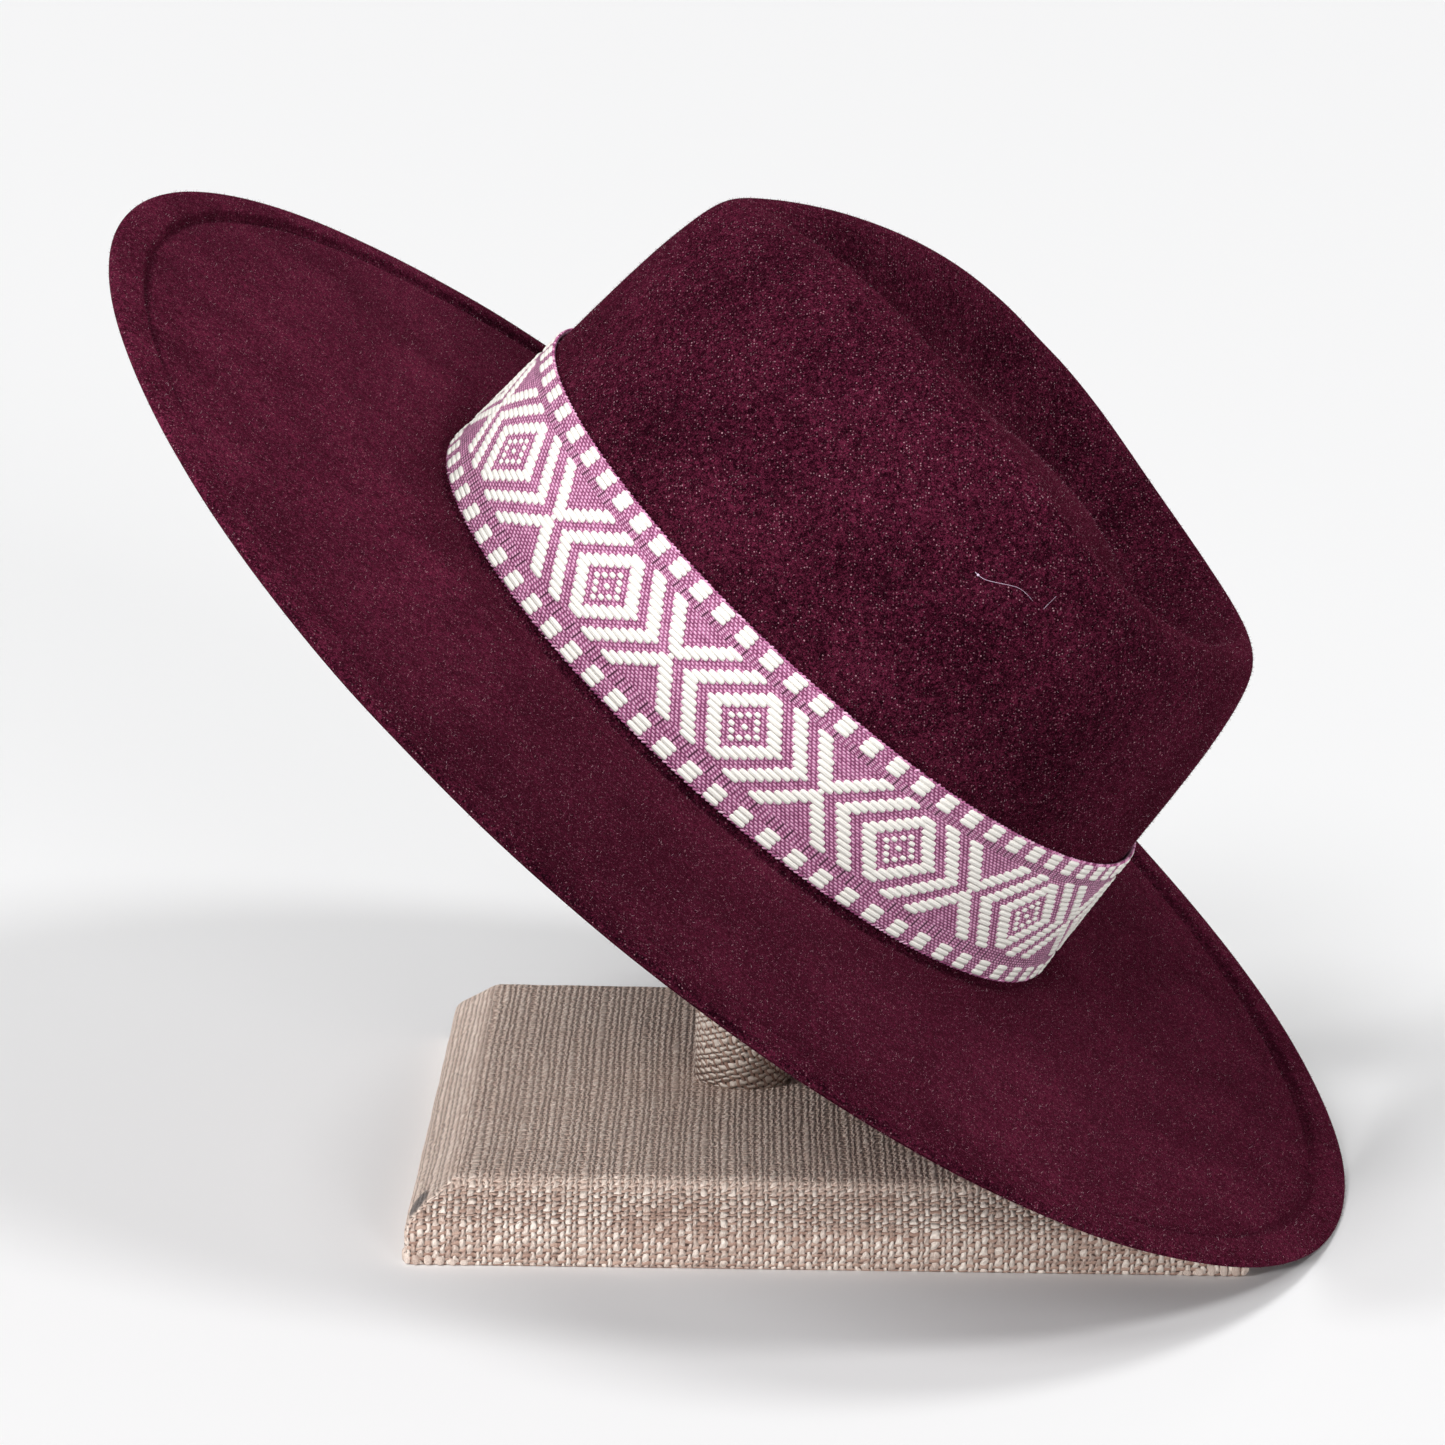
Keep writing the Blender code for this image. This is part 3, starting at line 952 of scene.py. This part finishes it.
stand = {
    "wall": 10.3 * mm,
    "slopeWidth": 12.4 * mm,
    "edge": 2.4 * mm,
    "hem": 0.8 * mm,  # how far the bottom edges are rounded
    "slice": 4.0 * mm,
    "level": 0.12,  # a face that tips less than this is charted as the top
    "unevenness": 0.22 * mm,
    "unevenSize": 16 * mm,
    "warp": 1.75 * mm,
    "weft": 1.35 * mm,
    "warpStrays": [  # a noise's stretch, turn and scale, and the threads moved by it
        ((1.0, 1.0), 0, 13, 1.3),
        ((1.0, 0.04), 0, 330, 1.1),
        ((1.0, 1.0), 0, 430, 0.8),
    ],
    "weftStrays": [
        ((1.0, 1.0), 90, 17, 0.9),
        ((0.05, 1.0), 0, 360, 0.9),
        ((1.0, 1.0), 90, 380, 0.9),
    ],
    "topStretch": 0.68,  # how much closer the chart runs on the top
    # painted shade in the gaps between the threads
    "gap": (0.06, 0.03, 0.021),
    "gapAlong": (0.28, 0.15, 0.105),  # painted light: lighter gaps where the top is seen along the cloth and its gaps close
    "along": (1.0, 0.80, 0.68),  # and the lighter tone, painted light, that it and both side slopes lean to
    "warpDark": (0.44, 0.285, 0.225),
    "warpLight": (0.98, 0.865, 0.77),
    "weftDark": (0.36, 0.215, 0.165),
    "weftLight": (0.60, 0.42, 0.34),
    # painted glints
    "paintedGlintColour": (0.995, 0.97, 0.93),
    "markPixels": [(424, 1194), (413, 1212)],  # ends of a grey mark on the front left corner
    "markWidth": 2.9 * mm,
    "markColour": (0.12, 0.105, 0.105),
}


def threadsOf(finish, place, axis, width, strays):  # a place counted in threads, each of which strays
    count = place.part(axis) / width
    for stretch, turn, perMetre, most in strays:
        where = finish.scaled(place, (*stretch, 1.0), turn)
        count = count + (finish.speckle(where, perMetre, 1.0) - 0.5) * most
    return count


def linenFinish(name, turn, lift, mark=None):  # the mark, and the painted light on the top and side slopes, are only on the board, whose top is flat
    finish = Finish(name, {"Specular IOR Level": 0.35, "Sheen Weight": 0.05})
    place = finish.scaled(finish.sheetPlace("cloth"), (1.0, 1.0, 1.0), turn)
    streak = finish.speckle(finish.scaled(place, (0.07, 1.0, 1.0)), 260, 2.0, 0.7) - 0.5
    gap = stand["gap"]
    twist = 0.3
    # on the board: painted light on the top and the side slopes
    if mark:
        spot = finish.place()
        onTop = spot.part("Z").step(16 * mm, 19 * mm)
        onSide = (spot.part("X").size() - spot.part("Y").size()).step(-0.5 * mm, 0.5 * mm)
        along = onTop.maths("MAXIMUM", onSide)
        gap = onTop.mix(gap, stand["gapAlong"])
        twist = along * 0.6 + 0.3
    u = threadsOf(finish, place, "X", stand["warp"], stand["warpStrays"])
    v = threadsOf(finish, place, "Y", stand["weft"], stand["weftStrays"])
    column = u.floor()
    across = u.within()
    fromColumn = across.size()
    turned = v + column - across * twist  # the yarn's twist slants each bead
    crest = (turned * math.pi).maths("SINE") * 0.5 + 0.5  # how far this warp thread is on top
    belly = ((turned + 0.3) * math.pi).maths("SINE") * 0.5 + 0.5  # its width, most below the crest
    warpSide = fromColumn / (0.68 + belly * 0.30)
    weftSide = v.within().size() / 0.92
    warpHeight = (1 - warpSide ** 2.6) * (0.36 + crest * 0.64)
    weftHeight = (1 - weftSide ** 2.4) * (0.62 - crest * 0.38) * (1 - fromColumn.step(0.62, 1.0) * 0.25)
    height = warpHeight.maths("MAXIMUM", weftHeight).maths("MAXIMUM", 0.0)
    isWarp = (warpHeight - weftHeight).step(-0.03, 0.03)
    bead = finish.chance(column, ((v + column) * 0.5 + 0.25).floor())
    thread = finish.chance(column, 7.0)
    fine = finish.speckle(finish.scaled(place, (1.0, 0.35, 1.0)), 3200, 2.0, 0.65)
    fineWeft = finish.speckle(finish.scaled(place, (0.35, 1.0, 1.0)), 3200, 2.0, 0.65)
    # lift is painted light that makes the warp lighter
    warpTone = bead * 0.45 + thread * 0.20 + fine * 0.9 + streak * 1.2 - 0.22 + lift
    weftTone = finish.chance(v.floor(), column) * 0.5 + fineWeft * 0.9 - 0.25
    warpColour = warpTone.step(0.0, 0.95).mix(stand["warpDark"], stand["warpLight"])
    weftColour = weftTone.step(0.0, 0.95).mix(stand["weftDark"], stand["weftLight"])
    colour = isWarp.mix(weftColour, warpColour)
    if mark:
        colour = (along * 0.52).mix(colour, stand["along"])
    # painted shade where the threads sink between each other
    colour = height.step(0.0, 0.36).mix(gap, colour)
    # painted glints on the tops of the warp beads
    paintedGlints = fine.step(0.60, 0.70) * crest.step(0.6, 0.95) * isWarp * height.step(0.6, 0.9)
    colour = (paintedGlints * 0.8).mix(colour, stand["paintedGlintColour"])
    if mark:
        within = finish.add("ShaderNodeMapping", {"vector_type": "TEXTURE"}, {"Vector": spot, **mark})
        ragged = finish.speckle(spot, 900, 2.0) * 0.5 + finish.away(within)
        colour = ((1 - ragged.step(0.85, 1.25)) * 0.85).mix(colour, stand["markColour"])
    finish.feed("Base Color", colour)
    finish.feed("Roughness", 0.80 - fine * 0.45)
    finish.feed("Normal", finish.bump(height + fine * 0.22, 0.95 * mm))
    return finish.material


def linenRun(x, z, halfTop, top):  # how far the cloth has run out from the middle, over the edge
    reach = abs(x)
    if reach <= halfTop:
        return reach
    slopeRun = math.hypot(stand["slopeWidth"], top - stand["wall"])
    if z >= stand["wall"]:
        return halfTop + slopeRun * (top - z) / (top - stand["wall"])
    return halfTop + slopeRun + stand["wall"] - z


def sliceUp(bm, normal, first, last):  # cuts a mesh by even planes, so that it can be made uneven
    cuts = max(int((last - first) / stand["slice"]), 1)
    for i in range(1, cuts):
        place = [part * (first + (last - first) * i / cuts) for part in normal]
        geometry = bm.verts[:] + bm.edges[:] + bm.faces[:]
        bmesh.ops.bisect_plane(bm, geom=geometry, plane_co=place, plane_no=normal, dist=0.05 * mm)


def roundOff(bm, chosen, radius, segments):  # rounds the edges whose highest corner is at a chosen height
    edges = [edge for edge in bm.edges if chosen(max(v.co.z for v in edge.verts))]
    bmesh.ops.bevel(bm, geom=edges, offset=radius, offset_type="OFFSET", segments=segments, profile=0.5,
                    affect="EDGES", clamp_overlap=True, material=-1)


def makeBase():
    lo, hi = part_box("stand_base")
    size = hi - lo
    bm = bmesh.new()
    scale = Matrix.Diagonal((size.x, size.y, stand["wall"], 1.0))
    lift = Matrix.Translation((0.0, 0.0, stand["wall"] / 2))
    bmesh.ops.create_cube(bm, size=1.0, matrix=lift @ scale)
    top = max(bm.faces, key=lambda face: face.calc_center_median().z)
    raised = bmesh.ops.extrude_face_region(bm, geom=[top])["geom"]
    bmesh.ops.delete(bm, geom=[top], context="FACES_ONLY")
    corners = [item for item in raised if isinstance(item, bmesh.types.BMVert)]
    shrink = [1 - 2 * stand["slopeWidth"] / side for side in (size.x, size.y)]
    bmesh.ops.scale(bm, vec=(*shrink, 1.0), verts=corners)
    bmesh.ops.translate(bm, vec=(0.0, 0.0, size.z - stand["wall"]), verts=corners)
    bmesh.ops.recalc_face_normals(bm, faces=bm.faces)
    roundOff(bm, lambda z: z > 0.0, stand["edge"], 4)
    roundOff(bm, lambda z: z < 0.01 * mm, stand["hem"], 2)
    sliceUp(bm, (1.0, 0.0, 0.0), lo.x, hi.x)
    sliceUp(bm, (0.0, 1.0, 0.0), lo.y, hi.y)
    half = [side / 2 - stand["slopeWidth"] for side in (size.x, size.y)]

    def onCloth(face, place):  # the cloth runs out over the top and down each side
        x, y, z = place
        u, v = x, y
        if abs(face.normal.x) > max(abs(face.normal.y), stand["level"]):
            u = math.copysign(linenRun(x, z, half[0], hi.z), x)
        elif abs(face.normal.y) > stand["level"]:
            v = math.copysign(linenRun(y, z, half[1], hi.z), y)
        past = max(abs(v) - half[1], 0.0)
        return u, math.copysign((abs(v) - past) * stand["topStretch"] + past, v)

    chart(bm, "cloth", onCloth)
    bm.normal_update()
    for v in bm.verts:
        if v.co.z > stand["hem"]:
            spot = v.co / stand["unevenSize"]
            v.co += v.normal * (noise.noise(spot) + 0.6 * noise.noise(spot * 2.7)) * stand["unevenness"]
    return newPiece("linen_base", meshFrom(bm, "linenBase"), None, ["stand_base"])


def markOn(surface):  # the grey mark as a long ellipsoid: its place, turn and half sizes
    first, last = [pointOn(surface, pixel) for pixel in stand["markPixels"]]
    turn = (last - first).to_track_quat("X", "Z").to_euler()
    reach = ((last - first).length * 0.8, stand["markWidth"], stand["markWidth"])
    return {"Location": (first + last) / 2, "Rotation": turn, "Scale": reach}


post = {
    "rises": 14,  # rings up its side, and over its head
    "bends": 8,
    "sides": 64,
    "crumple": 0.12 * mm,
    "footCrumple": 0.45 * mm,  # what is added to it at the foot
    "footHeight": 9 * mm,
    "crumpleSize": 5.5 * mm,
}


def makePost(material):
    lo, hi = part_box("stand_post")
    radius = (hi.x - lo.x) / 2
    middle = (lo + hi) / 2
    shoulder = hi.z - radius
    rises, bends = post["rises"], post["bends"]
    profile = [(0.0, lo.z)] + [(radius, lo.z + (shoulder - lo.z) * i / rises) for i in range(rises)]
    for slope in [math.radians(90) * i / bends for i in range(bends + 1)]:
        profile.append((radius * math.cos(slope), hi.z - radius * (1 - math.sin(slope))))
    bm = bmesh.new()
    line = [bm.verts.new((middle.x + out, middle.y, z)) for out, z in profile]
    for first, second in zip(line, line[1:]):
        bm.edges.new((first, second))
    bmesh.ops.spin(bm, geom=bm.verts[:] + bm.edges[:], cent=(middle.x, middle.y, 0.0), axis=(0.0, 0.0, 1.0),
                   angle=math.radians(360), steps=post["sides"], use_merge=True, use_duplicate=False)
    merge(bm)
    bmesh.ops.recalc_face_normals(bm, faces=bm.faces)

    def onCloth(face, place):  # the cloth runs round the post, with no jump inside a face
        out = face.calc_center_median() - middle
        turn = math.atan2(out.y, out.x)
        x, y, z = place - Vector((middle.x, middle.y, 0.0))
        here = math.atan2(y, x) if math.hypot(x, y) > 0.1 * mm else turn
        return (turn + (here - turn + math.pi) % (2 * math.pi) - math.pi) * radius, z

    chart(bm, "cloth", onCloth)
    bm.normal_update()
    for v in bm.verts:
        if lo.z + 0.1 * mm < v.co.z < shoulder:
            foot = max(0.0, 1.0 - (v.co.z - lo.z) / post["footHeight"])
            crumple = noise.noise(Vector((v.co.x, v.co.y, v.co.z * 0.6)) / post["crumpleSize"])
            v.co += v.normal * crumple * (post["crumple"] + post["footCrumple"] * foot)
    return newPiece("linen_post", meshFrom(bm, "linenPost"), material, ["stand_post"])


gathers = {  # where the cloth bunches under the board's bottom corners
    "each": 11,
    "spread": 15 * mm,  # how far they reach along each side
    "length": 3.4 * mm,
    "width": 2.1 * mm,
    "height": 1.5 * mm,
    "taper": 0.55,  # how much smaller the last ones are
    "tuck": 0.35,  # how far the middle ones sit in, as a share of the rounded edge
}


def makeGathers():
    chance = np.random.default_rng(5)
    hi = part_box("stand_base")[1]
    back = stand["edge"]
    matrices = []
    for turns in range(4):
        for i in range(gathers["each"]):
            run = (i / (gathers["each"] - 1) * 2 - 1) * gathers["spread"]  # round the corner
            tuck = back * gathers["tuck"] if abs(run) < back else 0.0
            facing = math.degrees(math.atan2(float(run > -back), float(run < back)))
            shrink = 1.0 - gathers["taper"] * abs(run) / gathers["spread"]
            tall = gathers["length"] * shrink * chance.normal(1.0, 0.12)
            place = (hi.x - max(run, 0.0) - tuck, hi.y - max(-run, 0.0) - tuck, tall / 2 + 0.15 * mm)
            place = rotation(90 * turns, "Z") @ Matrix.Translation(place) @ rotation(facing, "Z")
            place = place @ rotation(chance.normal(0.0, 14), "X") @ rotation(-90, "Y")
            size = (tall, gathers["width"] * chance.normal(1.0, 0.1), gathers["height"] * shrink)
            matrices.append(place @ Matrix.Diagonal((*size, 1.0)))
    finish = Finish("linenGathers", {"Roughness": 0.7, "Specular IOR Level": 0.35})
    strand = finish.speckle(finish.scaled(finish.sheetPlace("strand"), (1.0, 6.0, 1.0)), 2.2, 2.0, 0.6)
    fine = finish.speckle(finish.place(), 2600, 2.0, 0.6)
    tone = strand * 0.7 + fine * 0.4 + finish.value("tone") * 0.25 - 0.15
    finish.feed("Base Color", tone.step(0.1, 0.9).mix(stand["warpDark"], stand["warpLight"]))
    finish.feed("Normal", finish.bump(strand + fine * 0.5, 0.3 * mm))
    gather = pillow("gather", 12, 8, (0.6, 0.8, 0.9))
    return copiesOf(gather, matrices, chance, "corner_gathers", finish.material)


basePiece = makeBase()
basePiece.data.materials.append(linenFinish("linenCover", 0, 0.0, markOn(surfaceOf(basePiece))))
# the post's linen is lightened by painted light
makePost(linenFinish("linenRound", 72, 0.6))
makeGathers()
print("stand covered")


# Floor and light

studio = {
    "floorColour": (0.90, 0.90, 0.905),
    "floorSide": 60.0,
    "worldColour": (1.0, 1.0, 1.0),
    "worldStrength": 0.10,
}
lamps = {  # degrees right of the front and over level, degrees of softness, and power
    "left": (-40, 50, 16, 0.70),
    "nearLeft": (-20, 34, 16, 0.80),
    "lowLeft": (-60, 21, 12, 1.35),
    "over": (-60, 72, 16, 0.82),
    "right": (40, 50, 14, 0.84),
    "front": (20, 10, 12, 1.05),
}


def makeStudio():
    bm = bmesh.new()
    bmesh.ops.create_grid(bm, x_segments=1, y_segments=1, size=studio["floorSide"] / 2)
    floor = linked("floor", meshFrom(bm, "floor"))
    finish = Finish("paleFloor", {
        "Base Color": (*studio["floorColour"], 1.0),
        "Roughness": 0.7,
        "Specular IOR Level": 0.1,
    })
    floor.data.materials.append(finish.material)
    world = bpy.data.worlds.new("studio")
    world.use_nodes = True
    sky = world.node_tree.nodes["Background"]
    sky.inputs["Color"].default_value = (*studio["worldColour"], 1.0)
    sky.inputs["Strength"].default_value = studio["worldStrength"]
    bpy.context.scene.world = world
    for name, (turn, rise, soft, power) in lamps.items():
        data = bpy.data.lights.new(name, "SUN")
        data.angle = math.radians(soft)
        data.energy = power
        turn, rise = math.radians(turn), math.radians(rise)
        aim = Vector((-math.sin(turn) * math.cos(rise), math.cos(turn) * math.cos(rise), -math.sin(rise)))
        linked(name, data).rotation_euler = aim.to_track_quat("-Z", "Y").to_euler()


makeStudio()
print("studio lit")
